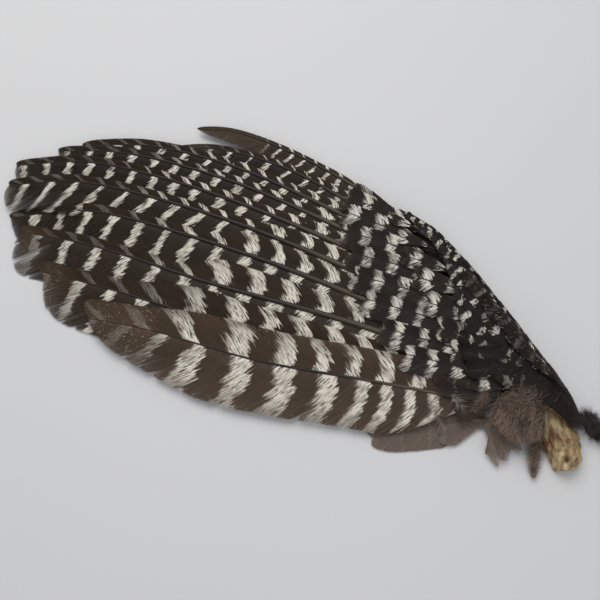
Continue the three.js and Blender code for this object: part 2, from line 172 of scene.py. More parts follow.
DOME_SIZE = 0.85  # of the mounds below the strands, as a share of these tufts
BRISTLE_TUFT = dict(centre=(192.4, -87.5), radius=(4.6, 10), bottom=1.5, height=13, turn=25)

# The photograph's view: the camera looks at the middle of the part's group from above.
CAMERA_DISTANCE = 0.62069
CAMERA_ELEVATION = 75.0
CAMERA_LENS = 54.0

# ---- curves and heights ----


def smoothstep(value, low, high):
    share = np.clip((value - low) / (high - low), 0, 1)
    return share * share * (3 - 2 * share)


def lerp(a, b, share):
    return a + (b - a) * share


def along_values(values, u):
    return np.interp(np.clip(u, 0, 1), np.linspace(0, 1, len(values)), values)


def catmull_rom(points, u):
    """Places and directions on a uniform Catmull-Rom curve, at shares u of its parameter."""
    points = np.asarray(points, float)
    points = np.vstack([2 * points[0] - points[1], points, 2 * points[-1] - points[-2]])
    place = np.clip(u, 0, 1) * (len(points) - 3)
    index = np.minimum(place.astype(int), len(points) - 4)
    t = (place - index)[..., None]
    a, b, c, d = (points[index + i] for i in range(4))
    start, end = (c - a) / 2, (d - b) / 2
    cubic, square = 2 * b - 2 * c + start + end, 3 * c - 3 * b - 2 * start - end
    return ((cubic * t + square) * t + start) * t + b, (3 * cubic * t + 2 * square) * t + start


def unit(vectors):
    return vectors / np.linalg.norm(vectors, axis=-1, keepdims=True)


def read_curve(points, u):
    """Places on a curve, the directions along it and those to its right."""
    place, along = catmull_rom(points, u)
    along = unit(along)
    return place, along, across_of(along)


def across_of(along):
    return np.stack([along[..., 1], -along[..., 0]], -1)


def raised(flat, height):
    return np.concatenate([flat, height[..., None]], -1)


class Shaft:
    """A shaft's line, read by distance from its root."""

    def __init__(self, points):
        self.places, self.directions, _ = read_curve(points, np.linspace(0, 1, 800))
        steps = np.linalg.norm(np.diff(self.places, axis=0), axis=1)
        self.distances = np.concatenate([[0], np.cumsum(steps)])
        self.length = self.distances[-1]

    def at(self, distance):
        """Places at distances, past the ends too, with the directions along and across."""
        def read(values):
            return np.stack([np.interp(distance, self.distances, values[:, i]) for i in (0, 1)], -1)

        past = np.maximum(0, distance - self.length) + np.minimum(0, distance)
        along = unit(read(self.directions))
        return read(self.places) + along * past[..., None], along, across_of(along)


def shaft_height(x):
    along = np.clip((x - TIP_X) / (HAND_X - TIP_X), 0, 1)
    return lerp(TIP_HEIGHT, HAND_HEIGHT, along) + ARCH_HEIGHT * np.sin(np.pi * along) ** 2


def coat_top(u, offset):
    reach = np.where(offset > 0, along_values(COAT["front"], u), along_values(COAT["back"], u))
    share = np.minimum(1, np.abs(offset) / reach)
    fall = np.where(offset > 0, (1 - share**2.2) ** 0.5, 1 - 0.05 * share**2)
    low = GROUND_GAP + 2.5
    return low + (along_values(COAT["top"], u) - low) * fall


def coat_height_at(x, y):
    u = np.linspace(0, 1, 241)
    places, _, across = read_curve(COAT["line"], u)
    gap = np.stack([x, y], -1)[..., None, :] - places
    nearest = np.argmin((gap**2).sum(-1), -1)
    gap = np.take_along_axis(gap, nearest[..., None, None], -2)[..., 0, :]
    return coat_top(u[nearest], (gap * across[nearest]).sum(-1))

# ---- mesh building ----


class Sheet:
    """Gathers grids of points into one mesh, with what the materials read at each point.

    grain: distance along the shaft, distance across it and a number of its own for each feather.
    marks: number of the white bar, brownness and share of the barb's length.
    form: half width of a white bar, softness of its far side and its strength.
    order: -1 turns the faces over.
    """

    def __init__(self):
        self.parts = []

    def add(self, points, grain, marks, uv, form=(0, 0, 0), material=0, order=1):
        self.parts.append((points, grain, marks, form, uv, material, order))

    def build(self, name, materials, slot, *nodes):
        """Makes the piece, which rides the body, and replaces the part's nodes that are named."""
        total = 0
        faces, indices, stacks = [], [], [[], [], [], [], []]
        for points, grain, marks, form, uv, material, order in self.parts:
            points = points.reshape(-1, *points.shape[-3:])
            count, rows, columns = points.shape[:3]
            number = np.arange(count * rows * columns).reshape(count, rows, columns) + total
            corners = [number[:, :-1, :-1], number[:, :-1, 1:], number[:, 1:, 1:], number[:, 1:, :-1]]
            faces.append(np.stack(corners, -1).reshape(-1, 4))
            indices.append(np.full(len(faces[-1]), material))
            total += number.size
            for stack, values, size in zip(stacks, (points, grain, marks, form, uv), (3, 3, 3, 3, 2)):
                shape = (count, rows, columns, size)
                stack.append(np.broadcast_to(values, shape)[:, :, ::order].reshape(-1, size))
        points, grain, marks, form, uv = (np.concatenate(stack) for stack in stacks)
        faces = np.concatenate(faces)
        mesh = bpy.data.meshes.new(name)
        mesh.vertices.add(len(points))
        mesh.vertices.foreach_set("co", ((points + SHIFT) * MM).astype(np.float32).ravel())
        mesh.loops.add(faces.size)
        mesh.loops.foreach_set("vertex_index", faces.ravel().astype(np.int32))
        mesh.polygons.add(len(faces))
        mesh.polygons.foreach_set("loop_start", np.arange(0, faces.size, 4, dtype=np.int32))
        mesh.polygons.foreach_set("material_index", np.concatenate(indices).astype(np.int32))
        mesh.polygons.foreach_set("use_smooth", np.ones(len(faces), bool))
        for key, values in (("grain", grain), ("marks", marks), ("form", form)):
            layer = mesh.attributes.new(key, "FLOAT_VECTOR", "POINT")
            layer.data.foreach_set("vector", values.astype(np.float32).ravel())
        layer = mesh.uv_layers.new(name="OFBake")
        layer.data.foreach_set("uv", uv[faces.ravel()].astype(np.float32).ravel())
        mesh.update(calc_edges=True)
        mesh.validate()
        for material in materials:
            mesh.materials.append(material)
        piece = bpy.data.objects.new(name, mesh)
        scene.collection.objects.link(piece)
        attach(piece, "root")
        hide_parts(*nodes)


def vector(*parts):
    return np.stack(np.broadcast_arrays(*parts), -1)


def past_step(distance, step):
    return smoothstep(distance, step[0] - step[1], step[0] + step[1])


def vane_width(side, distance, length, bare):
    widths, step, closing, roundness = side
    before = lerp(widths[0], widths[1], np.minimum(1, distance / step[0]))
    after = lerp(widths[2], widths[3], np.clip((distance - step[0]) / (length - step[0]), 0, 1))
    start = np.sqrt(smoothstep(distance, bare, bare + VANE_START))
    end = np.clip(1 - (length - distance) / closing, 0, 1)
    return lerp(before, after, past_step(distance, step)) * start * (1 - end**2) ** roundness


def bar_number(bars, distance):
    """Number of the white bar at a distance, whole at the middle of a bar."""
    places, numbers = (np.array(values, float) for values in zip(*bars))
    inside = np.interp(distance, places, numbers)
    rates = np.diff(numbers) / np.diff(places)
    before, past = np.minimum(0, distance - places[0]), np.maximum(0, distance - places[-1])
    return inside + before * rates[0] + past * rates[-1]


def splits(rng, length, count, depth):
    """Places where the barbs part, with how far each part draws back at the vane's edge."""
    places = rng.uniform(0.15, 0.98, count) * length
    return list(zip(places, rng.uniform(0.3, 1, count) * depth, rng.uniform(3, 12, count)))


def parting(distance, gaps):
    shift = np.zeros_like(distance)
    for place, depth, reach in gaps:
        away = distance - place
        shift += depth * np.sign(away) * np.exp(-np.abs(away) / reach)
    return shift


def add_barbs(sheet, shaft, side, sign, look, number):
    """One vane of a feather: a ribbon for every barb, from the shaft forward to the edge."""
    rng = default_rng(number * 2 + (sign > 0))
    length, bare, quill = shaft.length, look["bare"], look["quill"]
    count = int((length - bare) / look["pitch"])
    root = bare + (np.arange(count) + 0.5) * (length - bare) / count
    share = 1 - np.linspace(1, 0, look["segments"] + 1) ** 1.7
    radius = np.maximum(0.35, quill * (1 - root / length) ** 0.75)
    angle = np.radians(lerp(*BARB_ANGLE, root / length))
    width = vane_width(side, root, length, bare)
    for place, depth in look["notches"] if sign < 0 else []:
        width = width * (1 - depth * np.clip(1 - np.abs(root - place) / NOTCH_REACH, 0, 1))
    gaps = splits(rng, length, look["splits"], look["split_depth"])
    drift = np.interp(root, np.linspace(0, length, 24), rng.normal(0, 1, 24))
    width = width * (1 + look["ragged"] * (0.5 * drift + rng.normal(0, 0.5, count)))
    forward = np.maximum(0, width - radius) / np.tan(angle)
    back = parting(root, gaps) * np.minimum(1, width / 12)
    reach = lerp(radius[:, None] * 0.7, np.maximum(width, radius * 0.7)[:, None], share)
    ahead = forward[:, None] * (0.72 * share + 0.28 * share**2) + back[:, None] * share**2.4
    half = (length - bare) / count * BARB_OVERLAP * (1 - 0.5 * share**60)
    curl = look["curl"] * rng.normal(0, 1, count)[:, None] * share**4
    ridge = 0.05 * rng.normal(0, 1, count)[:, None] * share
    points = []
    for edge in (-1, 1):
        place, along, across = shaft.at(root[:, None] + edge * half)
        place = place + across * (sign * reach)[..., None] + along * ahead[..., None]
        height = look["height_of"](place[..., 0], place[..., 1]) + look["tilt"] * sign * reach
        height = height - CAMBER * reach**2 + 0.12 + ridge + curl - edge * 0.05 * (share > 0.05)
        if sign < 0:
            height = height + look["fold"] * reach * smoothstep(-place[..., 0], 135, 165)
        points.append(raised(place, height))
    points = np.stack(points, 2)
    foot = root[:, None] + ahead
    broad = 1 - past_step(root, side[1])[:, None]
    lean = lerp(look["lean"][1 if sign < 0 else 2], look["lean"][0], broad)
    bulge = look["bulge"] * np.sin(np.pi * share) * broad
    phase = bar_number(look["bars"][sign > 0], foot - lean * reach + bulge)
    brown = smoothstep(foot / length, look["brown"], look["brown"] + 0.1)
    fade = 1 - look["fade"] * brown
    fade = fade * (1 - look["edge_fade"] * smoothstep(share, 0.62, 0.95))
    if sign > 0:
        fade = fade * (1 - look["plain_tip"] * smoothstep(foot / length, 0.6, 0.8))
    brown = np.maximum(brown, lerp(look["warmth"], look["edge_brown"], share**2))
    half_bar, soft = (lerp(look[key][1], look[key][0], broad) for key in ("white", "soft"))
    grain = vector(root[:, None], reach, number * 17.3 + sign)[:, :, None]
    marks = vector(phase, brown, np.broadcast_to(share, phase.shape))[:, :, None]
    form = vector(half_bar, soft, fade)[:, :, None]
    low = 0.01 if sign > 0 else 0.49
    column = (np.arange(count)[:, None] + np.array([0.03, 0.97])) / count
    uv = vector(column[:, None, :], (low + 0.45 * share)[None, :, None])
    sheet.add(points, grain, marks, uv, form, order=sign)


def add_shaft(sheet, shaft, look, number):
    """The shaft: a tapering tube, flattened along its ridge, that ends in a thin hair."""
    columns = 11
    u = np.linspace(0, 1, look["rows"])
    distance = u * shaft.length
    place, _, across = shaft.at(distance)
    end = min(QUILL_END, look["quill"])
    radius = np.maximum(end, look["quill"] * (1 - u) ** 0.75)
    radius[-1] *= 0.3
    crown = end + radius * 0.95
    bare = max(1, look["bare"])
    keel = lerp(radius, 0.3, smoothstep(distance, bare * 0.8, bare * 1.5))
    turn = np.linspace(-np.pi / 2, 1.5 * np.pi, columns)
    side, up = radius[:, None] * np.cos(turn), np.sin(turn)
    rise = np.where(up > 0, crown[:, None] * np.abs(up) ** 0.8, keel[:, None] * up)
    flat = place[:, None] + across[:, None] * side[..., None]
    height = look["height_of"](flat[..., 0], flat[..., 1]) + look["tilt"] * side + rise
    share = np.linspace(0, 1, columns)
    grain = vector(distance[:, None], share * 6, number * 3.1)
    # marks: place along the shaft and how far each point faces up, which the shaft material uses for a
    # painted highlight.
    marks = vector(u[:, None] + look["horn"], up, 0.0)
    sheet.add(raised(flat, height), grain, marks, vector(u[:, None], 0.955 + 0.04 * share), material=1)


def feather(name, points, outer, inner, look, materials, number, slot, *nodes):
    shaft = Shaft(points)
    sheet = Sheet()
    add_barbs(sheet, shaft, outer, 1, look, number)
    add_barbs(sheet, shaft, inner, -1, look, number)
    add_shaft(sheet, shaft, look, number)
    sheet.build(name, materials, slot, *nodes)

# ---- materials ----


class Nodes:
    """A material's node tree, with short ways to add and join nodes."""

    def __init__(self, name):
        self.material = bpy.data.materials.new(name)
        self.material.use_nodes = True
        self.tree = self.material.node_tree
        self.tree.nodes.clear()

    def add(self, kind, inputs, output=0, **settings):
        """Adds a node, joins or sets its inputs and returns one output, or several for a slice."""
        node = self.tree.nodes.new("ShaderNode" + kind)
        for key, setting in settings.items():
            setattr(node, key, setting)
        for key, value in inputs.items():
            socket = node.inputs[key]
            if isinstance(value, bpy.types.NodeSocket):
                self.tree.links.new(value, socket)
            elif socket.type == "RGBA":
                socket.default_value = (*value, 1)
            else:
                socket.default_value = value
        return node.outputs[output]

    def math(self, operation, a, b, clamp=False):
        return self.add("Math", {0: a, 1: b}, operation=operation, use_clamp=clamp)

    def times(self, a, b):
        return self.math("MULTIPLY", a, b)

    def ramp(self, value, low, high, start=0.0, end=1.0):
        inputs = {"Value": value, "From Min": low, "From Max": high, "To Min": start, "To Max": end}
        return self.add("MapRange", inputs, "Result", interpolation_type="SMOOTHSTEP")

    def mix(self, share, a, b):
        return self.add("Mix", {"Factor": share, "A": a, "B": b}, "Result", data_type="RGBA")

    def attribute(self, name):
        return self.add("Attribute", {}, "Vector", attribute_name=name)

    def split(self, value):
        return self.add("SeparateXYZ", {0: value}, slice(3))

    def position(self):
        return self.add("TexCoord", {}, "Object")

    def noise(self, place, scale, detail=2.0, stretch=(1, 1, 1)):
        place = self.add("Mapping", {"Vector": place, "Scale": stretch})
        return self.add("TexNoise", {"Vector": place, "Scale": scale, "Detail": detail}, "Fac")

    def bump(self, height, strength, distance):
        return self.add("Bump", {"Strength": strength, "Distance": distance, "Height": height})

    def surface(self, colour, roughness, normal, specular=0.5, through=0.0, sheen=0.0):
        result = self.add("BsdfPrincipled", {
            "Base Color": colour, "Roughness": roughness, "Normal": normal,
            "Specular IOR Level": specular, "Sheen Weight": sheen,
        })
        if through:
            thin = self.add("BsdfTranslucent", {"Color": colour})
            result = self.add("MixShader", {0: through, 1: result, 2: thin})
        self.add("OutputMaterial", {"Surface": result}, slice(0))
        return self.material


def vane_material(name, dark, brown, white, gloss=0.45, through=0.15, broken=0.25):
    """Barred vane: ragged white bars over dark barbs that turn brown at the tips."""
    nodes = Nodes(name)
    math, times, ramp, mix = nodes.math, nodes.times, nodes.ramp, nodes.mix
    grain = nodes.attribute("grain")
    phase, brownness, _ = nodes.split(nodes.attribute("marks"))
    half, soft, strength = nodes.split(nodes.attribute("form"))

    def streaks(detail, along, across):
        return nodes.noise(grain, 1.0, detail, (along, across, 1))

    ragged, drift = math("SUBTRACT", streaks(2, 0.9, 0.1), 0.5), math("SUBTRACT", streaks(1, 0.11, 0.13), 0.5)
    shift = math("ADD", times(ragged, 0.42), times(drift, 0.35))
    turn = math("FRACT", math("ADD", math("ADD", phase, 0.5), shift), 0.0)
    away = math("SUBTRACT", turn, 0.5)
    near = ramp(away, times(half, -1.15), times(half, -0.85))
    far = ramp(away, half, math("ADD", half, soft), 1.0, 0.0)
    flecks = ramp(streaks(3, 1.5, 0.22), 0.36, 0.5)
    patches = ramp(streaks(2, 0.1, 0.16), 0.36, 0.56, 1 - broken, 1.0)
    bars = times(times(times(times(near, far), strength), flecks), patches)
    stain = ramp(streaks(2, 0.06, 0.1), 0.3, 0.75)
    streak = ramp(streaks(2, 1.3, 0.08), 0.3, 0.7, 0.0, 0.5)
    shade = math("ADD", brownness, times(stain, 0.18), clamp=True)
    deep = mix(streak, dark, np.multiply(dark, 1.9))
    pale = mix(streak, brown, np.multiply(brown, 0.62))
    cream = mix(streak, white, np.multiply(white, (0.86, 0.82, 0.74)))
    speck = ramp(streaks(1, 1.1, 0.7), 0.66, 0.72, 0.0, 0.4)
    speck = times(times(speck, ramp(strength, 0.0, 0.1)), ramp(brownness, 0.75, 0.95))
    colour = mix(bars, mix(speck, mix(shade, deep, pale), cream), cream)
    roughness = ramp(streak, 0.0, 0.5, gloss, gloss + 0.18)
    return nodes.surface(colour, roughness, nodes.bump(streaks(1, 2.6, 0.1), 0.5, 0.0003), 0.2, through)


def shaft_material(name, tan, horn):
    """Shaft: one tone at the hand, another and glossy towards the tip; a painted highlight lightens its top
    where it is tan.
    """
    nodes = Nodes(name)
    ramp, mix = nodes.ramp, nodes.mix
    place, rise, _ = nodes.split(nodes.attribute("marks"))
    # Painted highlight: the shaft's upward face is lightened towards pale tan, before the tip's horn tone is
    # mixed in.
    colour = mix(ramp(rise, 0.75, 1.0, 0.0, 0.25), tan, (0.24, 0.2, 0.14))
    colour = mix(ramp(place, 0.15, 0.5), colour, horn)
    lines = nodes.noise(nodes.attribute("grain"), 1.0, 3.0, (0.05, 3.0, 1))
    colour = mix(ramp(lines, 0.35, 0.7, 0.0, 0.45), colour, (0.03, 0.021, 0.014))
    return nodes.surface(colour, ramp(lines, 0.3, 0.7, 0.35, 0.55), nodes.bump(lines, 0.3, 0.0003), 0.3)


def down_material(name, dark, pale, through=0.3):
    """Down and hair-like feathers: soft matt strands of mixed tone."""
    nodes = Nodes(name)
    tone = nodes.noise(nodes.attribute("grain"), 1.0, 2.0, (0.35, 0.35, 1))
    tip = nodes.split(nodes.attribute("marks"))[2]
    share = nodes.times(nodes.ramp(tone, 0.36, 0.64), nodes.ramp(tip, 0, 1, 0.5, 1))
    roughness = nodes.ramp(tone, 0.3, 0.7, 0.7, 0.9)
    bump = nodes.bump(tone, 0.2, 0.0004)
    return nodes.surface(nodes.mix(share, dark, pale), roughness, bump, 0.2, through, 0.3)


def skin_material():
    """The cut wrist: dried skin and sinew, ochre to cream, with painted shade in the folds, the pit and the
    hollow cut end and where the skin runs under the coat.
    """
    nodes = Nodes("dried_skin_bone")
    ramp, mix, place = nodes.ramp, nodes.mix, nodes.position()
    fold, under_coat_shade, _ = nodes.split(nodes.attribute("marks"))
    lumps = nodes.noise(place, 130, 6.0)
    fibres = nodes.noise(place, 70, 5.0, (6, 1.5, 2))
    stain = nodes.noise(place, 75, 3.0, (1, 1, 1.6))
    colour = mix(ramp(lumps, 0.38, 0.6), (0.15, 0.066, 0.022), (0.3, 0.2, 0.085))
    colour = mix(ramp(fibres, 0.46, 0.66, 0.0, 0.85), colour, (0.46, 0.37, 0.2))
    end = ramp(nodes.split(place)[1], -0.104, -0.118, 0.0, 0.6)
    colour = mix(nodes.times(end, ramp(fibres, 0.3, 0.55)), colour, (0.66, 0.54, 0.31))
    colour = mix(ramp(stain, 0.56, 0.68, 0.0, 0.75), colour, (0.1, 0.034, 0.014))
    # Painted shade: darker in the fold lines, the pit, the hollow of the cut end and towards the foot of the
    # wall under the coat's edge.
    colour = mix(ramp(fold, 0.0, 1.0), colour, (0.07, 0.03, 0.014))
    # Painted shade: darker where the skin runs under the coat and on the wall below the coat's edge.
    colour = mix(under_coat_shade, colour, (0.045, 0.03, 0.022))
    bump = nodes.bump(nodes.math("ADD", lumps, fibres), 0.9, 0.0016)
    return nodes.surface(colour, ramp(lumps, 0.3, 0.7, 0.42, 0.7), bump, 0.45)


CREAM = (0.85, 0.815, 0.73)
BARRED = vane_material("barred_vane", (0.0122, 0.0082, 0.005), (0.066, 0.044, 0.026), CREAM)
# The first primary's material: its paler brown is partly the vane's own tone and partly painted light showing
# through the thin vane from the floor.
INNER = vane_material("inner_vane", (0.0135, 0.009, 0.0056), (0.092, 0.06, 0.0385), CREAM)
COVERT = vane_material(
    "covert_vane", (0.0108, 0.0068, 0.0048), (0.05, 0.034, 0.024), (0.8, 0.765, 0.7), 0.5, 0.15, 0.6)
DARK = vane_material(
    "dark_covert", (0.0062, 0.004, 0.0028), (0.02, 0.0125, 0.009), (0.72, 0.69, 0.62), 0.5, 0.1, 0.3)
GREY = vane_material(
    "grey_vane", (0.15, 0.115, 0.095), (0.28, 0.225, 0.19), (0.6, 0.58, 0.52), 0.6, 0.3)
SHAFT = shaft_material("shaft_horn", (0.078, 0.062, 0.038), (0.016, 0.01, 0.007))
PALE_SHAFT = shaft_material("pale_shaft", (0.5, 0.42, 0.36), (0.2, 0.16, 0.13))
DOWN = down_material("grey_down", (0.055, 0.036, 0.026), (0.43, 0.322, 0.255))
WISP = down_material("pale_wisp", (0.16, 0.125, 0.1), (0.62, 0.56, 0.5), 0.4)
BRISTLE = down_material("dark_bristle", (0.008, 0.006, 0.005), (0.07, 0.054, 0.046), 0.15)
SKIN = skin_material()
KINDS = {COVERT: ("covert_vane", SHAFT), GREY: ("grey_vane", PALE_SHAFT), DARK: ("dark_covert", DARK)}

# ---- feathers ----

LOOK = dict(
    warmth=0, edge_fade=0, plain_tip=0, split_depth=0.9, curl=0.12, horn=0.0, tilt=TILT, white=NO_BARS,
    notches=[], fold=0,
)

for index, spec in enumerate(PRIMARIES):
    first = index == 0
    look = dict(
        LOOK, bare=VANE_START, pitch=0.36, segments=9, rows=90, brown=0.95, fade=1 if index == 9 else 0.85,
        height_of=lambda x, y, lift=spec.get("lift", 0), sink=spec.get("sink", 0): (
            shaft_height(x) + lift - sink * smoothstep(-x, 130, 170)
        ),
        bars=(spec["inner_bars"], spec["outer_bars"]), lean=(spec.get("slant", 0.36), spec["lean"], 1.5),
        # The first primary's edges turn browner and paler: partly its own tone, partly painted light showing
        # through the thin vane.
        warmth=WARMTH[index], edge_brown=0.95 if first else 0.5, edge_fade=0.5 if first else 0.1,
        white=(0.11, 0.09) if index > 7 else (0.17, 0.12), soft=(0.17, 0.05), splits=9, ragged=0.012,
        plain_tip=0 if first else 0.85, bulge=4.0,
    )
    look.update((key, spec[key]) for key in ("quill", "brown", "notches", "fold") if key in spec)
    step, closing, roundness = spec["step"], spec["closing"], spec.get("roundness", 0.9)
    sides = (spec["outer"], step, closing[0], 0.6), (spec["inner"], step, closing[1], roundness)
    name = f"primary_{index + 1}"
    feather(name + "_feather", spec["shaft"], *sides, look, [INNER if first else BARRED, SHAFT], index + 1,
            "barred_vane", name)


def short_feather(name, points, outer, inner, material, number, closing=(12, 18), opens=0, **changes):
    """A covert: even vanes with a rounded tip. opens: place along the quill where the inner vane opens."""
    slot, shaft_look = KINDS[material]
    rng = default_rng(900 + number)
    bars = [[(first, 0), (first + spread, 4)] for first, spread in rng.uniform((0, 58), (16, 74), (2, 2))]
    look = dict(
        LOOK, bare=4, pitch=0.42, segments=7, rows=40, bars=bars, brown=0.96, fade=0.3, edge_brown=0.15,
        lean=(0.1, 0.1, 0.2), bulge=2.5, white=(0.12, 0.12), soft=(0.17, 0.17), splits=5, ragged=0.03,
        horn=1.0,
    )
    look.update(changes)
    narrow, step = (1, (opens, 5)) if opens else (inner, STEP)
    sides = ([outer] * 4, STEP, closing[0], 0.5), ([narrow, narrow, inner, inner], step, closing[1], 0.6)
    feather(name + "_feather", points, *sides, look, [material, shaft_look], number, slot, name)


def over_shafts(lift):
    return lambda x, y: shaft_height(x) + lift


def level(height):
    return lambda x, y: np.full(np.shape(x), float(height))


def bar_columns(points, number):
    """Bars that run on across a row of coverts."""
    ends = np.array([points[0], points[-1]]) @ np.array([1, 0.35])
    start, end = -ends / 14.5 + default_rng(number).normal(0, 0.12)
    return [[(0, start), (Shaft(points).length, end)]] * 2


for index, (points, lift) in enumerate(zip(GREATER_COVERTS, GREATER_LIFT)):
    plain = {} if index else dict(white=NO_BARS, edge_brown=0.9)
    short_feather(
        f"greater_covert_{index + 1}", points, 7, 6 if plain else 12, COVERT, 20 + index, quill=0.8,
        bars=bar_columns(points, index), height_of=over_shafts(lift), **plain,
    )
for index, (points, lift) in enumerate(zip(MEDIAN_COVERTS, MEDIAN_LIFT)):
    short_feather(
        f"median_covert_{index + 1}", points, 9, 10, COVERT, 40 + index, quill=0.6,
        bars=bar_columns(points, 20 + index), height_of=over_shafts(lift),
    )
for index, spec in enumerate(ALULA):
    short_feather(
        f"alula_{index + 1}", spec["shaft"], 3, spec["inner"], DARK, 50 + index, quill=0.6, tilt=0,
        height_of=lambda x, y, lift=spec["lift"]: coat_height_at(x, y) + 0.4 + 0.35 * lift,
        white=(0.1, 0.1), bars=[[(0, 0.6), (40, 4.6 - 0.4 * index)]] * 2, fade=0.9, brown=0.7 - 0.25 * index,
    )
for index, spec in enumerate(TRAILING_FEATHERS):
    frayed = spec.get("frayed")
    short_feather(
        spec["name"], spec["shaft"], spec["outer"], spec["inner"], GREY, 60 + index, spec["closing"],
        spec.get("opens", 0), quill=spec["quill"], tilt=UNDER_TILT, white=NO_BARS,
        splits=8 if frayed else 3, split_depth=frayed or 0.5, height_of=level(spec["height"]),
    )
for index, points in enumerate(UNDER_COVERTS):
    short_feather(
        f"under_covert_{index + 1}", points, 7, 11, GREY, 70 + index, quill=0.7, tilt=UNDER_TILT,
        height_of=level(1.9),
    )

# Loose small feathers that lie on the others. line, width to each side, tone, height of the root, fall
# for each millimetre from it, and look.
PLUMES = [
    ([(140, -70), (122, -74), (103, -80)], 8, 1.0, 12.8, 0.1, COVERT),
    ([(151, -74), (141, -82), (136, -94)], 9, 0.0, 19.5, 0.4, GREY),
    ([(153, -78), (148, -87), (145, -99)], 7, 0.0, 19, 0.42, GREY),
    ([(149, -70), (136, -74), (125, -84)], 7, 0.0, 19.5, 0.3, GREY),
    ([(139, -45), (124, -42), (107, -40)], 8, 0.0, 20.8, 0.08, DARK),
    ([(144, -53), (128, -51), (110, -52)], 8, 0.0, 21.2, 0.08, DARK),
    ([(134, -36), (120, -34), (105, -29)], 7, 0.0, 20.4, 0.08, DARK),
    ([(112, 6), (92, 27), (70, 47)], 9, 0.0, 7, 0.0, DARK),
]
for index, (points, width, tone, height, slope, cover) in enumerate(PLUMES):
    side = [width] * 4, STEP, 16, 0.8
    smooth = cover == DARK
    look = dict(
        LOOK, bare=0, pitch=0.3, segments=5, rows=24, tilt=0.02, quill=0.12, brown=1.2, fade=0,
        warmth=0.6 * tone, edge_brown=tone, lean=(0, 0, 0), bulge=0, soft=(0.1, 0.1), splits=4,
        split_depth=0.5 if smooth else 0.9, ragged=0.03 if smooth else 0.15, curl=0.05 if smooth else 0.3,
        bars=[[(0, 0), (50, 1)]] * 2,
        height_of=lambda x, y, root=points[0], top=height, fall=slope: (
            top - fall * np.maximum(0, np.hypot(x - root[0], y - root[1]) - 4)
        ),
    )
    feather(f"loose_feather_{index + 1}", points, side, side, look, [cover, cover], 90 + index,
            "dark_covert" if smooth else "grey_vane")

# ---- the coat of marginal coverts ----


def coat_place(u, offset, rise):
    place, _, across = read_curve(COAT["line"], u)
    return raised(place + across * offset[..., None], coat_top(u, offset) + rise)


def coat_edges(u):
    """The coat's edges; at the wrist its back edge leaves the dried skin bare."""
    bare = np.interp(u, (0, 0.135, 0.2), (8.4, 0, -30))
    return np.maximum(-along_values(COAT["back"], u), bare), along_values(COAT["front"], u)


def add_coat_form(sheet):
    """The dark skin below the small feathers."""
    u = np.linspace(0, 1, 70)[:, None]
    share = np.concatenate([np.linspace(0, 0.5, 8), 1 - 0.5 * np.linspace(1, 0, 12)[1:] ** 2])
    back, front = coat_edges(u)
    points = coat_place(u, 0.99 * lerp(back, front, share), np.array(-0.4))
    uv = vector(u, 0.02 + 0.2 * np.linspace(0, 1, len(share)))
    sheet.add(points, points, (0.5, 0, 0.5), uv, (-0.6, 0.1, 0))


def add_small_feather(sheet, rng, u0, offset0, turn, length, width, number, cell, shown):
    """One marginal covert, laid on the coat, its tip standing a little proud."""
    barbs = 17
    ends = catmull_rom(COAT["line"], np.array([u0, 1.0]))[1]
    step = np.linalg.norm(ends[0]) * (len(COAT["line"]) - 1)
    root = (np.arange(barbs)[:, None, None] + 0.5) / barbs
    share = np.linspace(0, 1, 5)[:, None]
    spread = width * root**0.35 * (1 - root**4) ** 0.5 * (1 + rng.normal(0, 0.05, root.shape))
    start, bars, strength = rng.uniform(-0.85, -0.6), rng.uniform(1.2, 1.7), rng.choice([0.4, 0.8, 1.0])
    pale = np.interp(u0, [0.14, 0.35, 0.6, 1], [0, 0.7, 1, 1]) * strength * shown
    for sign in (-1, 1):
        half = np.array([-0.62, 0.62]) * length / barbs * (1 - 0.75 * share**5)
        side = sign * spread * share
        ahead = root * length * 0.82 + np.abs(side) * 0.7 + half
        u = u0 + (ahead * np.cos(turn) + side * np.sin(turn)) / step
        offset = offset0 - ahead * np.sin(turn) + side * np.cos(turn)
        back, front = coat_edges(np.maximum(u, 0))
        offset = np.clip(offset, back - 1, 0.985 * front)
        lift = 0.1 + 1.3 * (np.maximum(0, ahead) / length) ** 1.5 - 0.04 * side**2
        points = coat_place(np.clip(u, 0, 1), offset, lift + rng.normal(0, 0.05, root.shape))
        points[..., :2] += (np.maximum(0, u - 1) * step)[..., None] * unit(ends[1])
        phase = start + (ahead / length - 0.7) * bars + 1 + 0.12 * (side / width) ** 2
        grain = vector(root * length, side, number * 7.7)
        marks = vector(phase, 0.3 * (ahead / length) ** 4, share)
        column = root + np.array([-0.45, 0.45]) / barbs
        low = cell[1] + (0 if sign > 0 else 0.5) * cell[3]
        uv = vector(cell[0] + column * cell[2], low + 0.48 * cell[3] * share)
        sheet.add(points, grain, marks, uv, (0.09, 0.1, pale), order=sign)


def marginal_coverts():
    sheet = Sheet()
    add_coat_form(sheet)
    rng = default_rng(5)
    columns, rows = 16, 5
    for column in range(columns):
        for row in range(rows):
            u0 = (column + rng.uniform(-0.3, 0.3) + 0.5 * (row % 2)) / columns - 0.04
            front, back = along_values(COAT["front"], u0), along_values(COAT["back"], u0)
            across = 0.96 * front - (row + 0.3) / rows * (0.96 * front + back) + rng.normal(0, 0.8)
            turn = np.radians(np.interp(row, [0, rows], [6, 36]) + rng.normal(0, 5))
            length = np.interp(row, [0, rows], [17, 26]) * rng.uniform(0.9, 1.15)
            cell = (column / columns, 0.24 + 0.76 * row / rows, 0.97 / columns, 0.74 / rows)
            number = column * rows + row
            shown = row > 0 or u0 > 0.3
            add_small_feather(sheet, rng, u0, across, turn, length, length * 0.3, number, cell, shown)
    sheet.build("marginal_coverts_coat", [DARK], "dark_covert", "marginal_coverts")


marginal_coverts()

# ---- down, bristles and the cut wrist ----


